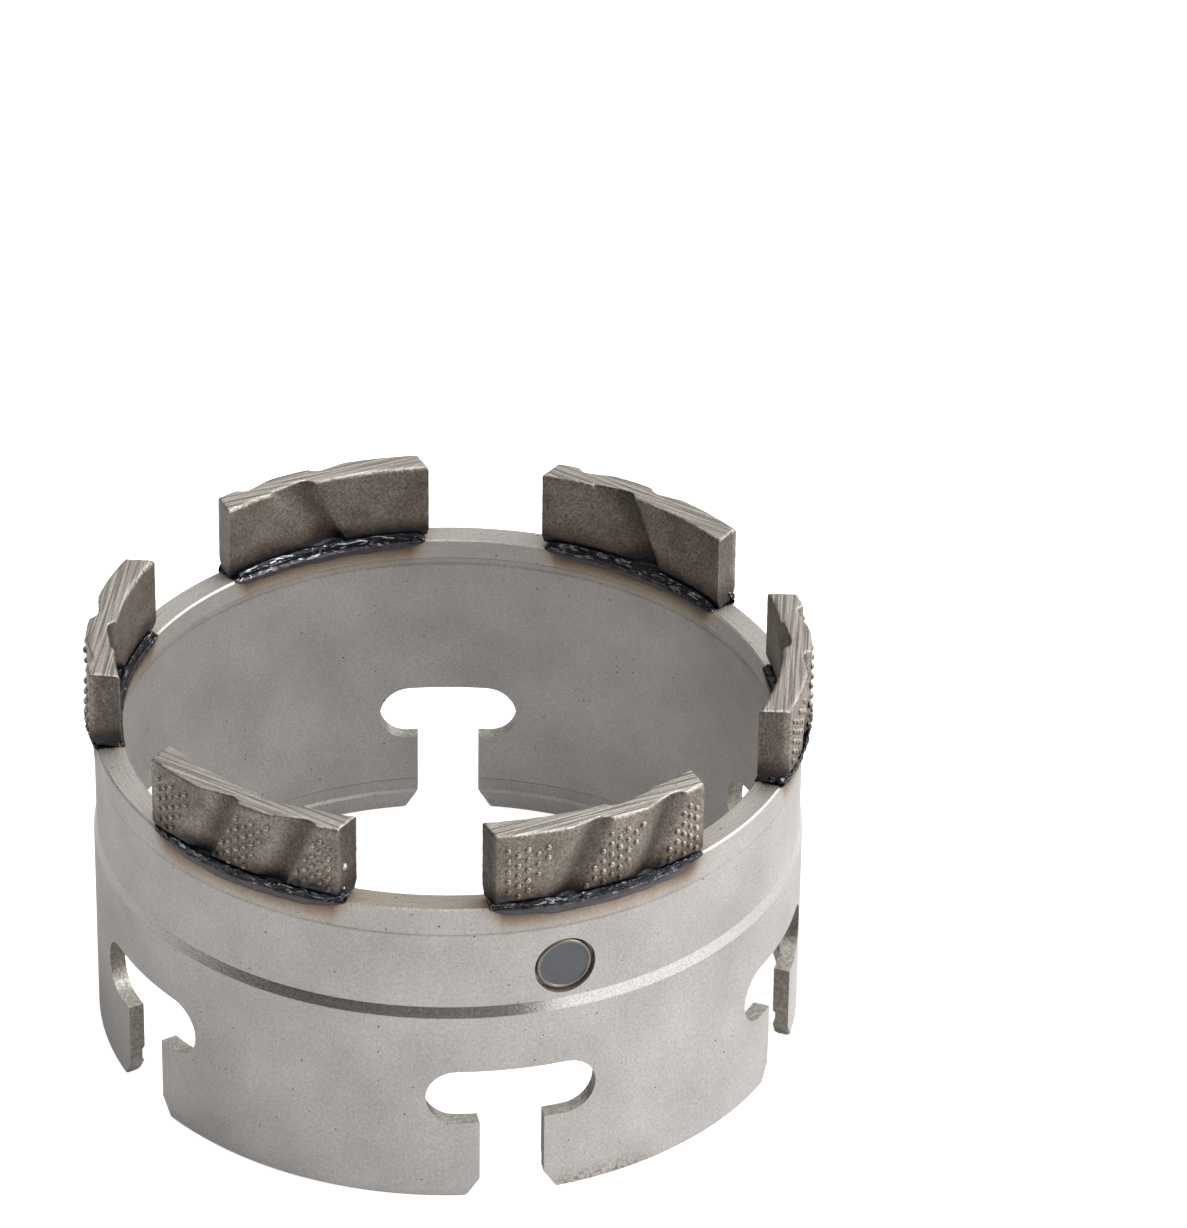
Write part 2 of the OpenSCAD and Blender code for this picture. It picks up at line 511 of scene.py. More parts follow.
@dataclass(frozen=True)
class BlastedSteel:
    """Turned tool steel, fine blasted: matte and light, with small dark pits and tinted by the brazing."""

    wall: str = "#C0BCB9"
    wall_dark: str = "#AFABA8"
    # Painted light: the lip is a little lighter than the wall under it
    lip: str = "#C4C0BC"
    rim: str = "#D6D2CC"
    rim_warm: str = "#C4BAAC"
    # Colour of the worn chamfers, lighter also as a painted highlight
    edge: str = "#CCC8C3"
    # Lit and shaded copies of the cut faces' colour: painted light on faces that look up, painted shade on
    # the sides
    sawn_lit_top: str = "#D0CCC4"
    sawn_shaded_side: str = "#989289"
    cone: str = "#C6C3BF"
    # Painted shade on the left of the cone
    cone_painted_shade: str = "#A8A39D"
    straw: str = "#F4EBE0"
    tint: str = "#CBB9A6"
    scorch: str = "#9A8878"
    pit: str = "#4A4642"
    stain: str = "#766F56"
    grain_mm: float = 0.26
    mottle_mm: float = 9.0
    pit_mm: float = 0.95
    turning_mm: float = 0.12
    streak_mm: float = 0.5
    scribble_mm: float = 0.9
    step_z: float = 34.82
    lip_h: float = 2.4
    cone_z: tuple[float, float] = (24.0, 25.3)
    slots_z: tuple[float, float] = (0.4, 17.5)
    heat_h: float = 3.6
    heat_fade: float = 2.6
    roughness: float = 0.5
    metallic: float = 0.85

    def make(self) -> Material:
        """Build the material.

        Returns:
            The steel of the ring.
        """
        material, tree, shader = new_material("fine_blasted_tool_steel")
        at = RingNodes.make(tree)
        grain = at.noise(at.place, per(self.grain_mm), detail=3.0, roughness=0.6)
        mottle = at.noise(at.place, per(self.mottle_mm), detail=3.0)
        up = at.remap(at.upward, (0.55, 0.85))
        rim = at.times(up, at.span(at.height, RIM_Z - 0.3, RIM_Z - 0.1))
        cone = self.on_cone(at)
        pits = at.pits(at.place, self.pit_mm, 0.5, 0.15, 0.95)
        marks = at.times(self.turning(at), rim)

        colour = at.mix(at.remap(mottle, (0.3, 0.7)), self.wall, self.wall_dark)
        # The lip is painted a little lighter than the wall under it, as painted light
        colour = at.mix(self.lip_lit_band(at), colour, self.lip)
        # The rim is warmer in front, within about 50 degrees to each side
        front = at.remap(at.maths("ABSOLUTE", at.azimuth), (0.17, 0.1))
        colour = at.mix(rim, colour, at.mix(front, self.rim, self.rim_warm))
        # The cone is painted darker from 20 to 110 degrees left of the front, as painted shade for the dark
        # reflection it shows there
        cone_shade_stops = [(0.12, self.cone), (0.2, self.cone_painted_shade), (0.44, self.cone_painted_shade), (0.48, self.cone)]
        colour = at.mix(cone, colour, at.ramp(at.whole_azimuth(), cone_shade_stops))
        colour, streaks = self.slots(at, up, colour)
        # Chamfers at the rim are painted lighter in spots: partly wear, partly painted highlight
        colour = at.mix(self.worn_and_lit_edge(at, grain), colour, self.edge)
        heat = [(0.0, 1), (0.35, self.straw), (0.72, self.tint), (1.0, self.scorch)]
        colour = at.mix(1.0, colour, at.ramp(self.heat(at, mottle), heat), "MULTIPLY")
        colour = at.mix(pits, colour, self.pit)
        colour = at.mix(self.stains(at, grain), colour, self.stain)

        # A dark line is painted along the step under the band, as painted shade in its crease
        from_step = at.maths("ABSOLUTE", at.maths("SUBTRACT", at.height, self.step_z * MM))
        step_shade = at.times(at.span(from_step, 0.3, 0.04, (0.0, 0.45)), mottle)
        light = at.maths("SUBTRACT", at.remap(grain, (0.28, 0.72), (0.8, 1.18)), step_shade)
        light = at.maths("MULTIPLY_ADD", marks, -0.22, light)
        matte = at.remap(grain, wanted=(self.roughness - 0.08, self.roughness + 0.1))
        relief = at.maths("MULTIPLY_ADD", pits, -1.5, grain)
        relief = at.maths("MULTIPLY_ADD", marks, -0.5, relief)
        relief = at.maths("MULTIPLY_ADD", streaks, 1.5, relief)
        feed(tree, shader, {
            "Base Color": at.scaled(colour, light),
            "Roughness": at.maths("MULTIPLY_ADD", cone, -0.36, matte),
            "Metallic": self.metallic,
            "Normal": at.bump(relief, at.remap(cone, wanted=(0.5, 0.25)), 0.05),
        })
        return material

    def on_cone(self, at: RingNodes) -> NodeSocket:
        """Find the turned cone between sleeve and waist.

        Args:
            at: The ring's nodes.

        Returns:
            1 on the cone and 0 elsewhere.
        """
        low, high = self.cone_z
        outside = at.maths("GREATER_THAN", at.outward, 0.5)
        return at.times(at.span(at.height, low, low + 0.08), at.span(at.height, high, high - 0.08), outside)

    def lip_lit_band(self, at: RingNodes) -> NodeSocket:
        """Find the lip inside the rim, painted a little lighter than the wall under it as painted light, as 1
        there and 0 elsewhere.
        """
        return at.times(at.maths("LESS_THAN", at.outward, -0.8), at.above(RIM_Z - self.lip_h))

    def worn_and_lit_edge(self, at: RingNodes, grain: NodeSocket) -> NodeSocket:
        """Find the chamfers that look up, which handling has polished in spots and which are painted lighter
        there as a highlight.

        Args:
            at: The ring's nodes.
            grain: The fine noise of the steel.

        Returns:
            How bright the edge is, from 0 to 1.
        """
        tilted, flat = at.remap(at.upward, (0.3, 0.6)), at.remap(at.upward, (0.92, 0.8))
        return at.times(tilted, flat, at.remap(grain, (0.35, 0.55)), at.above(RIM_Z - 1.0))

    def slots(self, at: RingNodes, up: NodeSocket, under: NodeSocket) -> tuple[NodeSocket, NodeSocket]:
        """Colour the rough faces cut for the slots, with a coarse grain, painted lighter where they look up
        and darker where they look sideways, as painted light and shade.

        Args:
            at: The ring's nodes.
            up: How far a face looks up.
            under: The colour of everything else.

        Returns:
            The colour, and the height of the grain on those faces.
        """
        lowest, highest = self.slots_z
        edge = at.remap(at.maths("ABSOLUTE", at.outward), (0.75, 0.6))
        gate = at.times(edge, at.maths("LESS_THAN", at.height, highest * MM), at.above(lowest))
        coarse = at.noise(at.place, per(self.streak_mm), detail=4.0, roughness=0.7)
        lot = at.remap(coarse, (0.38, 0.62))
        # Painted light on cut faces that look up, painted shade on those that look sideways
        face = at.mix(up, self.sawn_shaded_side, self.sawn_lit_top)
        streaked = at.scaled(face, at.remap(lot, wanted=(0.66, 1.08)))
        return at.mix(gate, under, streaked), at.times(lot, gate)

    def turning(self, at: RingNodes) -> NodeSocket:
        """Draw the fine rings that facing off left on the rim.

        Args:
            at: The ring's nodes.

        Returns:
            From 0 to 1 in the deepest mark.
        """
        across, along = at.times(at.radius, per(self.turning_mm)), at.times(at.azimuth, 40.0)
        spot = add_node(at.tree, "ShaderNodeCombineXYZ", {0: across, 1: along})
        return at.remap(at.noise(spot.outputs[0], 1.0), (0.45, 0.7))

    def stains(self, at: RingNodes, grain: NodeSocket) -> NodeSocket:
        """Lay the brownish scribbles of rust at the bottom of the tab right of the front slot.

        Args:
            at: The ring's nodes.
            grain: The fine noise of the steel.

        Returns:
            How much of the stain shows, from 0 to 1.
        """
        # From 18 to 35 degrees, which is 0.05 to 0.097 of a turn
        zone = at.ramp(at.azimuth, [(0.048, 0), (0.056, 1), (0.085, 1), (0.105, 0)])
        low = at.span(at.height, 2.6, 0.6)
        scribble = at.noise(at.place, per(self.scribble_mm), detail=3.0, distortion=2.5)
        outside = at.maths("GREATER_THAN", at.outward, 0.3)
        return at.times(zone, low, at.remap(scribble, (0.48, 0.56)), outside, at.remap(grain, (0.3, 0.6)))

    def heat(self, at: RingNodes, uneven: NodeSocket) -> NodeSocket:
        """Work out how strongly the brazing has tinted the steel.

        Args:
            at: The ring's nodes.
            uneven: A noise that makes the edge of the tint uneven.

        Returns:
            From 0, not at all, to 1, scorched.
        """
        # Full over a segment and gone a few degrees past its ends
        reach = math.degrees(SEGMENT_HALF / (RIM_R - 1))
        full, far = reach - 1.8, reach + 3.6
        stops = [(0.0, 0)]
        for azimuth in sorted(((a + 180) % 360) / 360 for a in SEGMENT_AZIMUTHS):
            for shift, level in ((-far, 0), (-full, 1), (full, 1), (far, 0)):
                stops.append((azimuth + shift / 360, level))
        near = at.ramp(at.whole_azimuth(), stops)
        lifted = at.maths("ADD", at.height, at.remap(uneven, wanted=(-0.5 * MM, 0.5 * MM)))
        lowest = at.remap(near, wanted=(RIM_Z * MM, (RIM_Z - self.heat_h) * MM))
        return at.times(at.span(at.maths("SUBTRACT", lifted, lowest), 0.0, self.heat_fade), near)


@dataclass(frozen=True)
class SinteredMatrix:
    """Diamond grit in hot-pressed metal powder: granular brown-grey, ground bright on top, scorched below."""

    body: str = "#8F867D"
    body_dark: str = "#756C64"
    ground: str = "#D2CCC4"
    ground_dark: str = "#958D84"
    # Painted shade in the flutes and round the feet of the dots
    flute: str = "#544C46"
    dot: str = "#A0958A"
    slate: str = "#35363B"
    brown: str = "#9A8672"
    pit: str = "#262321"
    grit_mm: float = 0.3
    blotch_mm: float = 4.0
    pit_mm: float = 2.3
    warp_mm: float = 0.6
    line_mm: tuple[float, float] = (14.0, 0.3)
    roughness: float = 0.42
    metallic: float = 0.75
    face_r: float = BLOCK_OUT_R
    inner_face_r: float = BLOCK_IN_R
    depth: float = 0.85

    def make(self) -> Material:
        """Build the material.

        Returns:
            The metal of the segments.
        """
        material, tree, shader = new_material("sintered_diamond_matrix")
        at = RingNodes.make(tree)
        grit = at.noise(at.place, per(self.grit_mm), detail=3.0, roughness=0.65)
        blotch = at.noise(at.place, per(self.blotch_mm), detail=4.0)
        up = at.remap(at.upward, (0.6, 0.85))
        raised = at.span(at.radius, self.face_r + 0.12, self.face_r + 0.26)
        lines = self.grinding(at)
        pits = self.pits(at)

        colour = at.mix(at.remap(blotch, (0.35, 0.65)), self.body, self.body_dark)
        # The flutes are painted darker towards their bottoms, as painted shade
        colour = at.mix(self.flute_shade(at), colour, self.flute)
        # A dark ring is painted round the foot of each dot, as painted shade
        foot = at.span(at.radius, self.face_r + 0.04, self.face_r + 0.08, (0.0, 0.75))
        colour = at.mix(foot, colour, self.flute)
        colour = at.mix(raised, colour, self.dot)
        colour = at.mix(up, colour, at.mix(lines, self.ground, self.ground_dark))
        lifted = at.maths("ADD", at.height, at.remap(blotch, (0.3, 0.7), (-0.9 * MM, 0.9 * MM)))
        warmth = at.span(lifted, RIM_Z, RIM_Z + 5)
        heat = [(0.0, self.slate), (0.26, self.slate), (0.4, self.brown), (0.75, 1)]
        colour = at.mix(0.8, colour, at.ramp(warmth, heat), "MULTIPLY")
        colour = at.mix(at.remap(warmth, (0.4, 0.26)), colour, self.slate)
        colour = at.mix(pits, colour, self.pit)

        # The grit shows less where the top is ground
        speck = at.remap(grit, (0.3, 0.7), (0.5, 1.5))
        light = add_node(tree, "ShaderNodeMix", {0: at.times(up, 0.75), 2: speck, 3: 1.0}).outputs[0]
        matte = at.remap(grit, wanted=(self.roughness + 0.12, self.roughness - 0.12))
        relief = at.maths("MULTIPLY_ADD", at.times(lines, up), -0.4, grit)
        feed(tree, shader, {
            "Base Color": at.scaled(colour, light),
            "Roughness": at.maths("MULTIPLY_ADD", raised, -0.16, matte),
            "Metallic": self.metallic,
            "Normal": at.bump(at.maths("MULTIPLY_ADD", pits, -1.5, relief), 0.8, 0.12),
        })
        return material

    def flute_shade(self, at: RingNodes) -> NodeSocket:
        """Find how deep a point lies in a flute, outside or inside, which sets the painted shade in the
        flutes.

        Args:
            at: The ring's nodes.

        Returns:
            From 0 on the faces to about 1 at a flute's bottom.
        """
        outside, inside = self.face_r, self.inner_face_r
        outer = at.span(at.radius, outside - 0.4, outside - self.depth, (0.0, 0.95))
        outer = at.times(outer, at.remap(at.outward, (0.1, 0.4)))
        inner = at.span(at.radius, inside + 0.4, inside + self.depth, (0.0, 0.8))
        return at.maths("MULTIPLY_ADD", inner, at.remap(at.outward, (-0.3, -0.6)), outer)

    def grinding(self, at: RingNodes) -> NodeSocket:
        """Draw the straight grinding lines that run lengthwise over the top.

        Args:
            at: The ring's nodes.

        Returns:
            From 0 on a ridge to 1 in a line.
        """
        # The map is in millimetres: u along a segment, v across it
        flat = add_node(at.tree, "ShaderNodeUVMap", uv_map=UV_NAME).outputs[0]
        length, gap = self.line_mm
        spot = at.vectors("MULTIPLY", flat, (1 / length, 1 / gap, 1)).outputs[0]
        return at.remap(at.noise(spot, 1.0, detail=3.0, roughness=0.55), (0.42, 0.6))

    def pits(self, at: RingNodes) -> NodeSocket:
        """Scatter a few ragged pits where powder did not fill.

        Args:
            at: The ring's nodes.

        Returns:
            1 in a pit and 0 elsewhere.
        """
        warp = add_node(at.tree, "ShaderNodeTexNoise", {"Vector": at.place, "Scale": per(self.warp_mm)})
        shift = at.scaled(warp.outputs["Color"], 0.5 * MM)
        return at.pits(at.vectors("ADD", at.place, shift).outputs[0], self.pit_mm, 0.72, 0.13)


@dataclass(frozen=True)
class BrazeAlloy:
    """Silver brazing alloy under burnt flux: a glassy, near black ridge with painted glints along its folds,
    and a satin roll.
    """

    ridge: str = "#26272B"
    # Colour of the painted glints on the folds
    glint: str = "#8E8E92"
    roll: str = "#504E50"
    drop: str = "#C0BEBA"
    drop_z: float = 40.3
    fold_mm: float = 1.8
    girth_mm: float = 245.0
    ripple_mm: float = 0.55
    roughness: float = 0.14
    metallic: float = 0.85

    def make(self) -> Material:
        """Build the material.

        Returns:
            The metal of the beads.
        """
        material, tree, shader = new_material("burnt_brazing_alloy")
        at = RingNodes.make(tree)
        # The folds lie along the bead
        along = at.times(at.azimuth, self.girth_mm / self.fold_mm)
        rise, deep = at.times(at.height, per(self.ripple_mm)), at.times(at.radius, per(self.ripple_mm))
        spot = add_node(tree, "ShaderNodeCombineXYZ", {0: along, 1: rise, 2: deep}).outputs[0]
        ripple = at.noise(spot, 1.0, detail=1.5, distortion=1.6)
        high = at.span(at.height, RIM_Z - 0.3, RIM_Z + 0.05)
        # Crests of the ripples are painted light, as painted glints
        colour = at.mix(at.remap(ripple, (0.57, 0.7)), self.ridge, self.glint)
        colour = at.mix(high, self.roll, colour)
        colour = at.mix(at.above(self.drop_z), colour, self.drop)
        feed(tree, shader, {
            # Brightness follows the ripples, as painted glints and shade
            "Base Color": at.scaled(colour, at.remap(ripple, wanted=(0.4, 1.6))),
            "Roughness": at.remap(high, wanted=(self.roughness + 0.2, self.roughness)),
            "Metallic": self.metallic,
            "Normal": at.bump(ripple, at.remap(high, wanted=(0.25, 1.0)), 0.22),
        })
        return material


@dataclass(frozen=True)
class NickelPlating:
    """Nickel on a pressed magnet: bright round the rolled edge, dull and smudged on the face."""

    face: str = "#636467"
    edge: str = "#857C72"
    face_r: float = 2.72
    smudge_mm: float = 1.6
    metallic: float = 0.9

    def make(self) -> Material:
        """Build the material.

        Returns:
            The plating of the magnet.
        """
        material, tree, shader = new_material("nickel_plated_magnet")
        nodes = Nodes(tree)
        place = add_node(tree, "ShaderNodeTexCoord").outputs["Object"]
        centre, angle = (0, 0, -MAGNET_Z * MM), (0, 0, -math.radians(MAGNET_AZIMUTH))
        feeds = {"Vector": place, "Location": centre, "Rotation": angle}
        centred = add_node(tree, "ShaderNodeMapping", feeds).outputs[0]
        flat = nodes.vectors("MULTIPLY", centred, (1, 0, 1)).outputs[0]
        radius = nodes.vectors("LENGTH", flat).outputs["Value"]
        rolled = nodes.span(radius, self.face_r - 0.05, self.face_r + 0.1)
        smudge = nodes.noise(place, per(self.smudge_mm), detail=4.0, distortion=1.5)
        colour = nodes.mix(rolled, self.face, self.edge)
        feed(tree, shader, {
            "Base Color": nodes.scaled(colour, nodes.remap(smudge, wanted=(0.85, 1.12))),
            "Roughness": nodes.remap(rolled, wanted=(0.5, 0.16)),
            "Metallic": self.metallic,
        })
        return material


@dataclass
class CrownRing:
    """The turned ring with its T slots and the seat of the magnet. Sizes are in millimetres."""

    rim_r: float = RIM_R
    rim_in_r: float = RIM_IN_R
    height: float = RIM_Z
    band_h: float = 3.3
    waist_r: float = 39.88
    lip_h: float = 2.4
    neck_r: float = 37.15
    rim_chamfer: float = 0.2
    sleeve_r: float = 40.2
    bore_r: float = 38.35
    sleeve_h: float = 24.0
    cone_top: float = 25.3
    relief: float = 0.16
    land_h: float = 2.2
    groove_top: float = 4.2
    groove_r: float = 38.65
    foot_chamfer: float = 0.35
    slot_azimuths: tuple[float, ...] = (-56.5, 11.5, 70.5, 109.0, 181.5, 243.0)
    stem_w: float = 7.2
    head_widths: tuple[float, ...] = (19.0, 19.0, 19.0, 19.0, 16.2, 12.6)
    head_h: float = 6.9
    head_z: float = 10.0
    flare_w: float = 1.65
    flare_h: float = 2.45
    slot_tool_r: tuple[float, float] = (30.0, 45.0)
    seat_r: float = 3.5
    seat_tool_depth: float = 5.0
    steps: int = 360
    sharp_angle: float = 12.0
    finish: BlastedSteel = BlastedSteel()

    def section(self) -> list[tuple[float, float]]:
        """Give the turned section, as radius and height in metres."""
        cut_in, chamfer, foot = self.groove_r - self.bore_r, self.rim_chamfer, self.foot_chamfer
        band_z, lip_z = self.height - self.band_h, self.height - self.lip_h
        waist_cut, lip_step = self.rim_r - self.waist_r, self.neck_r - self.rim_in_r
        points = [
            (self.sleeve_r - foot, 0.0),
            (self.sleeve_r, foot),
            (self.sleeve_r, self.sleeve_h),
            (self.waist_r - self.relief, self.cone_top - self.relief / 2),
            (self.waist_r, self.cone_top + self.relief / 2),
            (self.waist_r, band_z - waist_cut),
            (self.rim_r, band_z),
            (self.rim_r, self.height - chamfer),
            (self.rim_r - chamfer, self.height),
            (self.rim_in_r + chamfer, self.height),
            (self.rim_in_r, self.height - chamfer),
            (self.rim_in_r, lip_z),
            (self.neck_r, lip_z - lip_step),
            (self.bore_r, self.sleeve_h),
            (self.bore_r, self.groove_top),
            (self.groove_r, self.groove_top - cut_in),
            (self.groove_r, self.land_h + cut_in),
            (self.bore_r, self.land_h),
            (self.bore_r, foot),
            (self.bore_r + foot, 0.0),
        ]
        return [(r * MM, z * MM) for r, z in points]

    def slot_outline(self, width: float) -> list[tuple[float, float]]:
        """Give the outline of a T slot with a head of some width, as sideways place and height."""
        round_r, stem, below = self.head_h / 2, self.stem_w / 2, -1.0
        reach, middle = width / 2 - round_r, self.head_z + round_r
        right = [
            (reach + round_r * math.cos(math.radians(a)), middle + round_r * math.sin(math.radians(a)))
            for a in range(-90, 91, 10)
        ]
        flare = stem + self.flare_w
        half = [(flare, below), (flare, 0.0), (stem, self.flare_h), (stem, self.head_z), *right]
        return half + [(-x, z) for x, z in reversed(half)]

    def slot_tool(self, azimuth: float, width: float) -> Object:
        """Make the solid that cuts one slot."""
        inside, outside = self.slot_tool_r
        points = [(x * MM, -inside * MM, z * MM) for x, z in self.slot_outline(width)]
        tool = prism("slot_tool", points, Vector((0, (inside - outside) * MM, 0)))
        move(tool, turned(azimuth))
        return tool

    def seat_tool(self) -> Object:
        """Make the solid that bores the seat of the magnet."""
        tool = rod(self.seat_r, self.seat_tool_depth)
        place = shifted(0, -SEAT_FLOOR_R - self.seat_tool_depth / 2, MAGNET_Z)
        move(tool, turned(90, "X"), place, turned(MAGNET_AZIMUTH))
        return tool

    def build(self) -> Object:
        """Turn the ring, cut it and dress it.

        Returns:
            The ring.
        """
        ring = turn(self.section(), "ring_turned", math.pi, self.steps)
        slots = zip(self.slot_azimuths, self.head_widths)
        cut(ring, [self.slot_tool(azimuth, width) for azimuth, width in slots] + [self.seat_tool()])
        shade(ring, self.sharp_angle)
        hand_over(ring, "crown_ring", self.finish.make())
        return ring


@dataclass
class Segment:
    """One cutting segment: a curved block with two flutes outside, one inside and fields of raised dots."""

    out_r: float = BLOCK_OUT_R
    in_r: float = BLOCK_IN_R
    reach_r: float = 41.0
    half: float = SEGMENT_HALF
    foot_z: float = 38.45
    shoulder_z: float = 39.65
    top_z: float = 47.8
    bevel: float = 0.3
    foot_out: float = 0.6
    foot_in: float = 0.4
    flute_x: tuple[float, float] = (-2.4, 7.1)
    inner_flute_x: float = 0.6
    flute_floor_r: float = 39.75
    inner_flute_floor_r: float = 38.25
    flute_end_z: float = 38.9
    flute_r: float = 1.3
    flute_ramp: float = 3.8
    flute_lean: float = 24.0
    flute_length: float = 30.0
    flute_steps: int = 24
    wear_passes: int = 90
    chip_reach: float = 0.4
    rough_mm: float = 0.9
    rough_depth: float = 0.07
    sharp_angle: float = 60.0
    dot_r: float = 0.43
    dot_h: float = 0.34
    dot_pitch: float = 1.3
    dot_top: float = 2.0
    grain: float = 0.16
    # Each column of dots: distance from the left end, half pitches down to its first dot, number of dots
    dot_columns: tuple[tuple[float, int, int], ...] = (
        (1.3, 0, 5), (2.35, 1, 5), (3.4, 0, 5), (4.5, 1, 3), (5.6, 0, 2),
        (9.9, 9, 1), (10.9, 6, 2), (11.9, 3, 4), (12.9, 0, 5),
        (13.9, 1, 5), (14.9, 0, 4), (15.9, 1, 2), (16.8, 0, 1),
        (20.3, 7, 2), (21.3, 4, 3), (22.2, 1, 5), (23.05, 0, 5), (23.95, 1, 5),
    )
    finish: SinteredMatrix = SinteredMatrix()

    def section(self) -> list[tuple[float, float]]:
        """Give the section of the block, as radius and height in metres."""
        points = [
            (self.in_r + self.foot_in, self.foot_z),
            (self.out_r - self.foot_out, self.foot_z),
            (self.out_r, self.shoulder_z),
            (self.out_r, self.top_z - self.bevel),
            (self.out_r - self.bevel, self.top_z),
            (self.in_r + self.bevel, self.top_z),
            (self.in_r, self.top_z - self.bevel),
            (self.in_r, self.shoulder_z),
        ]
        return [(r * MM, z * MM) for r, z in points]

    def middle_z(self) -> float:
        """Give the height at which the flutes' places are measured, in millimetres."""
        return (self.shoulder_z + self.top_z) / 2

    def flute_tool(self, x: float, face_r: float, depth: float, side: Side) -> Object:
        """Make the solid that cuts one leaning flute.

        Args:
            x: Its deepest line, from the middle of the segment.
            face_r: Radius of the face that it is cut in.
            depth: How deep it is.
            side: The face that it is cut in.

        Returns:
            A round bottom and the slope that leads into it.
        """
        centre = depth - self.flute_r
        reach = math.hypot(self.flute_ramp, centre)
        first = math.atan2(-centre, -self.flute_ramp) - math.acos(self.flute_r / reach)
        last = -math.pi / 2
        points = [(-self.flute_ramp, 0.0)]
        for i in range(self.flute_steps + 1):
            angle = first + (last - first) * i / self.flute_steps
            points.append((self.flute_r * math.cos(angle), centre + self.flute_r * math.sin(angle)))
        points.append((-self.flute_ramp, centre - self.flute_r))
        length = self.flute_length
        base = [(a * MM, b * MM, -length / 2 * MM) for a, b in points]
        tool = prism("flute_tool", base, Vector((0, 0, length * MM)))
        if side is Side.INSIDE:
            move(tool, turned(180))
        place = shifted(0, -face_r, self.middle_z())
        move(tool, turned(self.flute_lean, "Y"), place, Matrix.Rotation(math.asin(x / face_r), 4, "Z"))
        return tool

    def block(self) -> Object:
        """Make the block with its flutes and parallel ends."""
        block = turn(self.section(), "segment_block", math.radians(24), 96)
        for way in (1, -1):
            slice_off(block, (way * self.half * MM, 0, 0), (way, 0, 0))
        depth, inner_depth = self.out_r - self.flute_floor_r, self.inner_flute_floor_r - self.in_r
        tools = [self.flute_tool(x, self.out_r, depth, Side.OUTSIDE) for x in self.flute_x]
        tools.append(self.flute_tool(self.inner_flute_x, self.in_r, inner_depth, Side.INSIDE))
        for tool in tools:
            slice_off(tool, (0, 0, self.flute_end_z * MM), (0, 0, -1))
        cut(block, tools)
        remesh = block.modifiers.new("press", "REMESH")
        remesh.mode, remesh.voxel_size = "VOXEL", self.grain * MM
        apply_modifiers(block)
        self.wear(block)
        self.chip(block)
        layer = block.data.uv_layers.new(name=UV_NAME)
        for loop in block.data.loops:
            spot = block.data.vertices[loop.vertex_index].co
            layer.data[loop.index].uv = (spot.x / MM, spot.y / MM)
        return block

    def wear(self, block: Object) -> None:
        """Smooth the flutes, and much less the edges of top, foot and ends.

        Args:
            block: The block, standing on -Y.
        """
        group = block.vertex_groups.new(name="soft")
        for vertex in block.data.vertices:
            x, _, z = vertex.co / MM
            edge = min(self.top_z - z, z - self.shoulder_z, self.half - abs(x))
            group.add([vertex.index], min(1.0, max(0.06, (edge - 0.3) / 0.5)), "REPLACE")
        smooth = block.modifiers.new("wear", "SMOOTH")
        smooth.factor, smooth.iterations, smooth.vertex_group = 0.5, self.wear_passes, group.name
        apply_modifiers(block)
        block.vertex_groups.clear()

    def chip(self, block: Object) -> None:
        """Chip and round the edges of the top.

        Args:
            block: The block, standing on -Y.
        """
        for vertex in block.data.vertices:
            x, y, z = vertex.co / MM
            if z < self.top_z - 1.0:
                continue
            radius = math.hypot(x, y)
            edge = min(self.out_r - radius, radius - self.in_r, self.half - abs(x))
            near = max(0.0, 1 - max(0.0, edge) / self.chip_reach)
            rough = noise.fractal(Vector((x * 1.1, y * 1.1, 4.2)), 1.0, 2.0, 3)
            depth = near * near * (0.02 + max(0.0, rough - 0.2) * 0.6)
            vertex.co.z = (z - depth * (1 - (self.top_z - z))) * MM

    def dot_places(self) -> list[tuple[float, float]]:
        """Give the places of the raised dots, as distance along the face and height in millimetres.

        Returns:
            One pair for each dot.
        """
        places = []
        for along, first, number in self.dot_columns:
            for i in range(number):
                drop = self.dot_top + (first / 2 + i) * self.dot_pitch
                places.append((along - self.half, self.top_z - drop))
        return [p for p in places if p[1] > self.shoulder_z + 0.25]

    def dots(self) -> Object:
        """Make the fields of raised dots, as one object of low domes."""
        dome = ball(14, 10, self.dot_r)
        slice_off(dome, (0, 0, -0.04 * MM), (0, 0, -1), filled=False)
        move(dome, Matrix.Diagonal((1, 1, self.dot_h / self.dot_r, 1)), turned(90, "X"))
        copies = []
        for number, (x, z) in enumerate(self.dot_places()):
            copy = duplicate(dome, f"dot_{number}", 0.0)
            size = 0.9 + 0.2 * noise.noise(Vector((x * 0.7, z * 0.9, 3.1)))
            place = shifted(0, -(self.out_r - 0.02), z)
            move(copy, Matrix.Scale(size, 4), place, Matrix.Rotation(math.asin(x / self.out_r), 4, "Z"))
            copies.append(copy)
        bpy.data.objects.remove(dome)
        return join(*copies)

    def build(self) -> list[Object]:
        """Press one segment, copy it round the rim and dress the copies.

        Returns:
            The six segments.
        """
        block, dots = self.block(), self.dots()
        material = self.finish.make()
        made = []
        for number, azimuth in enumerate(SEGMENT_AZIMUTHS, 1):
            body = duplicate(block, f"segment_pressed_{number}", azimuth)
            texture = bpy.data.textures.new(f"press_{number}", "CLOUDS")
            texture.noise_scale, texture.noise_depth = self.rough_mm * MM, 2
            rough = body.modifiers.new("rough", "DISPLACE")
            rough.texture, rough.strength, rough.mid_level = texture, self.rough_depth * MM, 0.5
            rough.texture_coords = "LOCAL"
            apply_modifiers(body)
            join(body, duplicate(dots, f"dots_{number}", azimuth))
            self.keep_inside(body)
            shade(body, self.sharp_angle)
            hand_over(body, f"segment_{number}", material)
            made.append(body)
        for spare in (block, dots):
            bpy.data.objects.remove(spare)
        return made

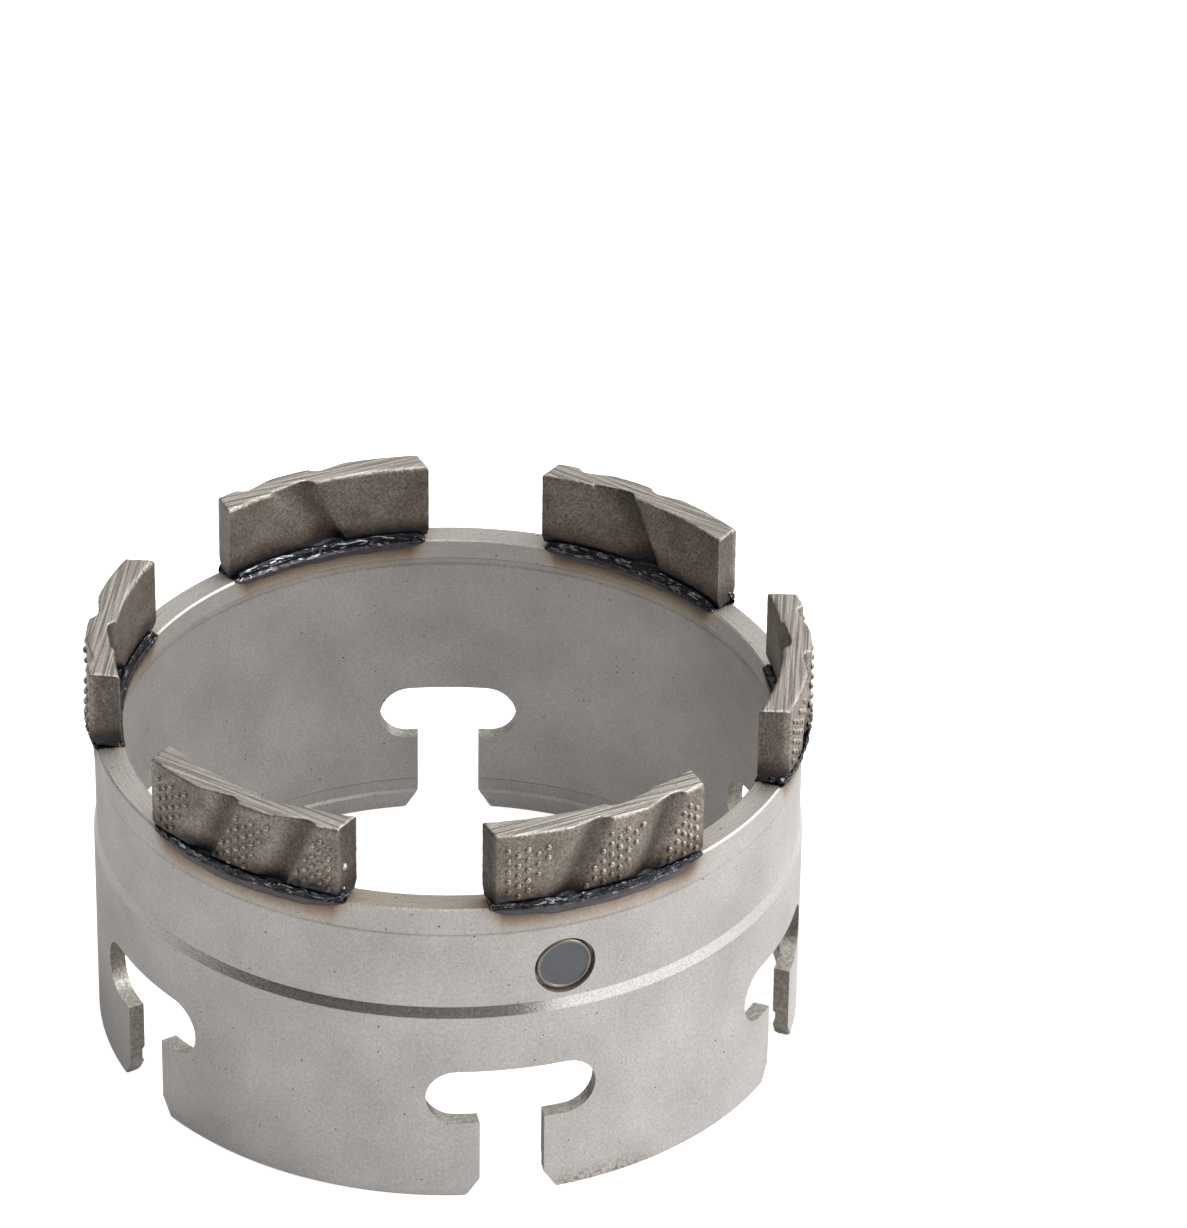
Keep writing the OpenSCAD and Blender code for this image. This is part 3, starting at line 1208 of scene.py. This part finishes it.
    def keep_inside(self, body: Object) -> None:
        """Press back whatever stands out past the cutting circle or the top."""
        for vertex in body.data.vertices:
            flat = math.hypot(vertex.co.x, vertex.co.y)
            if flat > self.reach_r * MM:
                vertex.co.x *= self.reach_r * MM / flat
                vertex.co.y *= self.reach_r * MM / flat
            vertex.co.z = min(vertex.co.z, self.top_z * MM)


@dataclass
class BrazeBead:
    """The bead that holds one segment: an outer roll, a rippled ridge at the foot and an inner roll."""

    rim_r: float = RIM_R
    rim_in_r: float = RIM_IN_R
    rim_z: float = RIM_Z
    half: float = 13.3
    steps: int = 180
    sharp_angle: float = 80.0
    # Drops that ran over: bead, place along it, radius from the ring's axis, height, own radius
    drops: tuple[tuple[int, float, float, float, float], ...] = (
        (6, 12.45, 39.45, 42.4, 0.42), (6, 12.5, 40.15, 38.9, 0.55), (6, 12.55, 39.75, 39.6, 0.42),
        (6, 12.5, 39.2, 38.7, 0.45), (1, -12.6, 40.1, 38.6, 0.45), (1, -12.5, 39.3, 38.7, 0.5),
        (2, -12.55, 39.9, 38.8, 0.5), (2, -12.5, 38.9, 38.9, 0.45), (3, -12.5, 40.1, 38.9, 0.45),
        (3, -12.45, 39.6, 39.5, 0.35),
    )
    finish: BrazeAlloy = BrazeAlloy()

    def section(self) -> list[tuple[float, float]]:
        """Give the section, as radius and height in millimetres, from the lowest outer point round."""
        outer = [
            (39.95, 36.7), (40.06, 36.74), (40.2, 36.95), (40.34, 37.2), (40.46, 37.48), (40.53, 37.75),
            (40.5, 37.98), (40.42, 38.14), (40.5, 38.3), (40.68, 38.48), (40.82, 38.7), (40.86, 38.95),
            (40.82, 39.15), (40.74, 39.25), (40.6, 39.2),
        ]
        inner = [
            (37.46, 39.0), (37.34, 39.12), (37.18, 39.1), (37.04, 38.95), (36.93, 38.72), (36.88, 38.5),
            (36.92, 38.32), (36.82, 38.15), (36.7, 37.95), (36.62, 37.65), (36.62, 37.3), (36.7, 36.95),
            (36.82, 36.65), (36.95, 36.45), (37.0, 36.5),
        ]
        under = [(40.4, 38.86), (40.15, 38.52), (39.3, 38.5), (38.5, 38.5), (37.75, 38.52), (37.58, 38.85)]
        rim = [
            (37.0, 37.3), (37.0, 37.95), (37.2, 38.15), (38.5, 38.15), (39.75, 38.15), (39.95, 37.95),
            (39.95, 37.1),
        ]
        return self.finer(outer) + under + self.finer(inner) + rim

    @staticmethod
    def finer(points: list[tuple[float, float]]) -> list[tuple[float, float]]:
        """Put a point on the curve halfway between each two points."""
        made = [points[0]]
        for i in range(len(points) - 1):
            here, there = points[i], points[i + 1]
            before, after = points[max(0, i - 1)], points[min(len(points) - 1, i + 2)]
            made.append(tuple((9 * (here[k] + there[k]) - before[k] - after[k]) / 16 for k in (0, 1)))
            made.append(there)
        return made

    def shape(self, obj: Object, seed: float) -> None:
        """Taper the ends of a bead and ripple its skin.

        Args:
            obj: The bead, standing on -Y.
            seed: Shift of the noise, for this bead alone.
        """
        for vertex in obj.data.vertices:
            radius = math.hypot(vertex.co.x, vertex.co.y) / MM
            angle = math.atan2(vertex.co.x, -vertex.co.y)
            height = vertex.co.z / MM
            along = angle * (self.rim_r + 0.5)
            share = min(1.0, abs(along) / self.half)
            past = max(0.0, abs(along) - SEGMENT_HALF) / (self.half - SEGMENT_HALF)
            outside, inside = radius > self.rim_r - 0.1, radius < self.rim_in_r + 0.1
            lens = max(0.0, 1 - share ** (3.5 if outside else 7)) ** 0.7
            if height > self.rim_z:
                height = self.rim_z + (height - self.rim_z) * (1 - 0.95 * past) * (0.5 + 0.5 * lens**0.5)
            if outside or inside:
                wall, way = (self.rim_r, 1) if outside else (self.rim_in_r, -1)
                spot = Vector((along * 0.9 + seed, radius * 1.3, height * 1.5))
                strong = 1.0 if height > self.rim_z - 0.2 else 0.3
                wave = noise.fractal(spot, 1.0, 2.0, 3) * 0.22
                wave += noise.noise(Vector((along * 2.8 + seed, height * 2.2, radius))) * 0.14
                wave *= strong * (1.0 if outside else 0.5)
                off = (radius - wall) * way
                sway = 1 + 0.18 * noise.noise(Vector((along * 0.45 + seed, 7.7, 0.0)))
                if height < self.rim_z:
                    depth = 1.0 if outside else 0.62
                    height = self.rim_z - (self.rim_z - height) * (0.06 + 0.94 * lens) * sway * depth
                if off > 0:
                    off = (off + wave * min(1.0, off / 0.3)) * (0.06 + 0.94 * lens**0.6)
                radius = min(wall + way * off, self.rim_r + 0.98)
            vertex.co = Vector((radius * math.sin(angle), -radius * math.cos(angle), height)) * MM

    def add_drops(self, bead: Object, number: int) -> None:
        """Join the drops to a bead.

        Args:
            bead: The bead, standing on -Y.
            number: Which bead it is.
        """
        for owner, along, radius, height, size in self.drops:
            if owner != number:
                continue
            drop = ball(20, 12, size)
            back = math.sqrt(radius**2 - along**2)
            move(drop, Matrix.Diagonal((0.7, 1, 1, 1)), shifted(along, -back, height))
            join(bead, drop)

    def build(self) -> list[Object]:
        """Lay the six beads and dress them.

        Returns:
            The beads.
        """
        material = self.finish.make()
        section = [(r * MM, z * MM) for r, z in self.section()]
        made = []
        for number, azimuth in enumerate(SEGMENT_AZIMUTHS, 1):
            bead = turn(section, f"bead_{number}", self.half / (self.rim_r + 0.5), self.steps)
            self.shape(bead, number * 17.3)
            self.add_drops(bead, number)
            move(bead, turned(azimuth))
            shade(bead, self.sharp_angle)
            hand_over(bead, f"braze_{number}", material)
            made.append(bead)
        return made


@dataclass
class Magnet:
    """The round magnet in the wall: a disc with a rolled edge and a face set in it."""

    radius: float = 3.2
    thickness: float = 1.0
    face_sink: float = 0.1
    edge_round: float = 0.35
    sharp_angle: float = 35.0
    finish: NickelPlating = NickelPlating()

    def build(self) -> Object:
        """Press the disc, set its face and dress it.

        Returns:
            The magnet.
        """
        disc = rod(self.radius, self.thickness)
        disc.name = "magnet_disc"
        move(disc, shifted(0, 0, self.thickness / 2))
        for inset, sink in ((0.4, 0.0), (0.08, -self.face_sink), (0.25, 0.0)):
            start_edit(disc, chosen="DESELECT")
            end_edit()
            for face in disc.data.polygons:
                face.select = face.normal.z > 0.9 and len(face.vertices) > 4
            bpy.ops.object.mode_set(mode="EDIT")
            bpy.ops.mesh.inset(thickness=inset * MM, depth=sink * MM)
            end_edit()
        bevel = disc.modifiers.new("rolled", "BEVEL")
        bevel.width, bevel.segments = self.edge_round * MM, 5
        bevel.limit_method, bevel.angle_limit = "ANGLE", math.radians(60)
        apply_modifiers(disc)
        move(disc, turned(90, "X"), shifted(0, -SEAT_FLOOR_R, MAGNET_Z), turned(MAGNET_AZIMUTH))
        shade(disc, self.sharp_angle)
        hand_over(disc, "magnet", self.finish.make())
        return disc


@dataclass
class Studio:
    """Camera, soft lamps, pale floor and white surroundings. Sizes are in millimetres."""

    look: tuple[float, float, float] = (16.14, 0.0, 51.18)
    elevation: float = 0.555
    roll: float = 0.014
    distance: float = 781.81
    focal_px: float = 7008.0
    long_side_px: float = 1228.0
    lamp_size: float = 0.7
    # Name, place in metres and power in watts
    lamps: tuple[tuple[str, tuple[float, float, float], float], ...] = (
        ("key", (1.22, -0.32, 0.66), 9.0), ("top", (0.5, 0.1, 1.2), 4.0)
    )

    def camera(self) -> None:
        """Set the camera at the angle of the photograph."""
        back = Vector((0, -math.cos(self.elevation), math.sin(self.elevation)))
        right = Vector((1, 0, 0))
        up = back.cross(right)
        side = math.cos(self.roll) * right + math.sin(self.roll) * up
        top = -math.sin(self.roll) * right + math.cos(self.roll) * up
        place = (Vector(self.look) + back * self.distance) * MM
        data = bpy.data.cameras.new("camera")
        data.sensor_width = 36.0
        data.lens = self.focal_px * data.sensor_width / self.long_side_px
        data.clip_start, data.clip_end = 0.05, 20.0
        camera = bpy.data.objects.new("camera", data)
        columns = [(*side, 0), (*top, 0), (*back, 0), (*place, 1)]
        camera.matrix_world = Matrix(columns).transposed()
        bpy.context.scene.collection.objects.link(camera)
        bpy.context.scene.camera = camera

    def lamp(self, name: str, place: tuple[float, float, float], power: float) -> None:
        """Hang one square soft lamp that looks at the object.

        Args:
            name: Its name.
            place: Where it hangs, in metres.
            power: Its power, in watts.
        """
        data = bpy.data.lights.new(name, "AREA")
        data.size, data.energy = self.lamp_size, power
        lamp = bpy.data.objects.new(name, data)
        lamp.location = place
        aim = Vector((0, 0, 0.02)) - Vector(place)
        lamp.rotation_euler = aim.to_track_quat("-Z", "Y").to_euler()
        bpy.context.scene.collection.objects.link(lamp)

    def surroundings(self) -> None:
        """Make the white world, plain for what sees it and softer as a light."""
        world = bpy.data.worlds.new("studio")
        bpy.context.scene.world = world
        world.use_nodes = True
        tree = world.node_tree
        tree.nodes.clear()
        nodes = Nodes(tree)
        way = add_node(tree, "ShaderNodeTexCoord").outputs["Generated"]
        parts = add_node(tree, "ShaderNodeSeparateXYZ", {0: way})
        across = nodes.remap(parts.outputs["X"], (-1.0, 1.0))
        side = nodes.ramp(across, [(0.0, 0.1), (0.3, 0.05), (0.7, 0.08), (0.79, 1)])
        above = nodes.remap(parts.outputs["Z"], (0.2, 0.9), (0.0, 0.72))
        soft = nodes.maths("MULTIPLY_ADD", side, 1.5, above)
        seen = add_node(tree, "ShaderNodeLightPath").outputs["Is Camera Ray"]
        strength = add_node(tree, "ShaderNodeMix", {0: seen, 2: soft, 3: 1.0}).outputs[0]
        light = add_node(tree, "ShaderNodeBackground", {"Color": "#FFFFFF", "Strength": strength})
        add_node(tree, "ShaderNodeOutputWorld", {"Surface": light.outputs[0]})

    def floor(self) -> None:
        """Lay the pale floor, which keeps a soft shadow."""
        bpy.ops.object.select_all(action="DESELECT")
        bpy.ops.mesh.primitive_plane_add(size=8.0, location=(0, 0, 0))
        floor = bpy.context.object
        floor.name = "floor"
        material, tree, shader = new_material("pale_floor_paint")
        nodes, path = Nodes(tree), add_node(tree, "ShaderNodeLightPath")
        seen = nodes.times(path.outputs["Is Glossy Ray"], 0.08)
        glow = nodes.maths("MULTIPLY_ADD", path.outputs["Is Camera Ray"], 0.8, seen)
        feed(tree, shader, {
            "Base Color": colour_of(0.8),
            "Roughness": 0.9,
            "Emission Color": "#FFFFFF",
            "Emission Strength": glow,
        })
        floor.data.materials.append(material)

    def build(self) -> None:
        """Set up the whole studio."""
        self.camera()
        self.surroundings()
        self.floor()
        for name, place, power in self.lamps:
            self.lamp(name, place, power)
        bpy.context.scene.view_settings.view_transform = "Standard"


def main() -> None:
    """Build the crown and its studio, and log how many solids the frame has."""
    logging.basicConfig(level=logging.INFO, format="%(name)s: %(message)s")
    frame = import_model()
    LOG.info("frame with %d solids", len(frame["nodes"]))
    CrownRing().build()
    Segment().build()
    BrazeBead().build()
    Magnet().build()
    Studio().build()


if __name__ == "__main__":
    main()
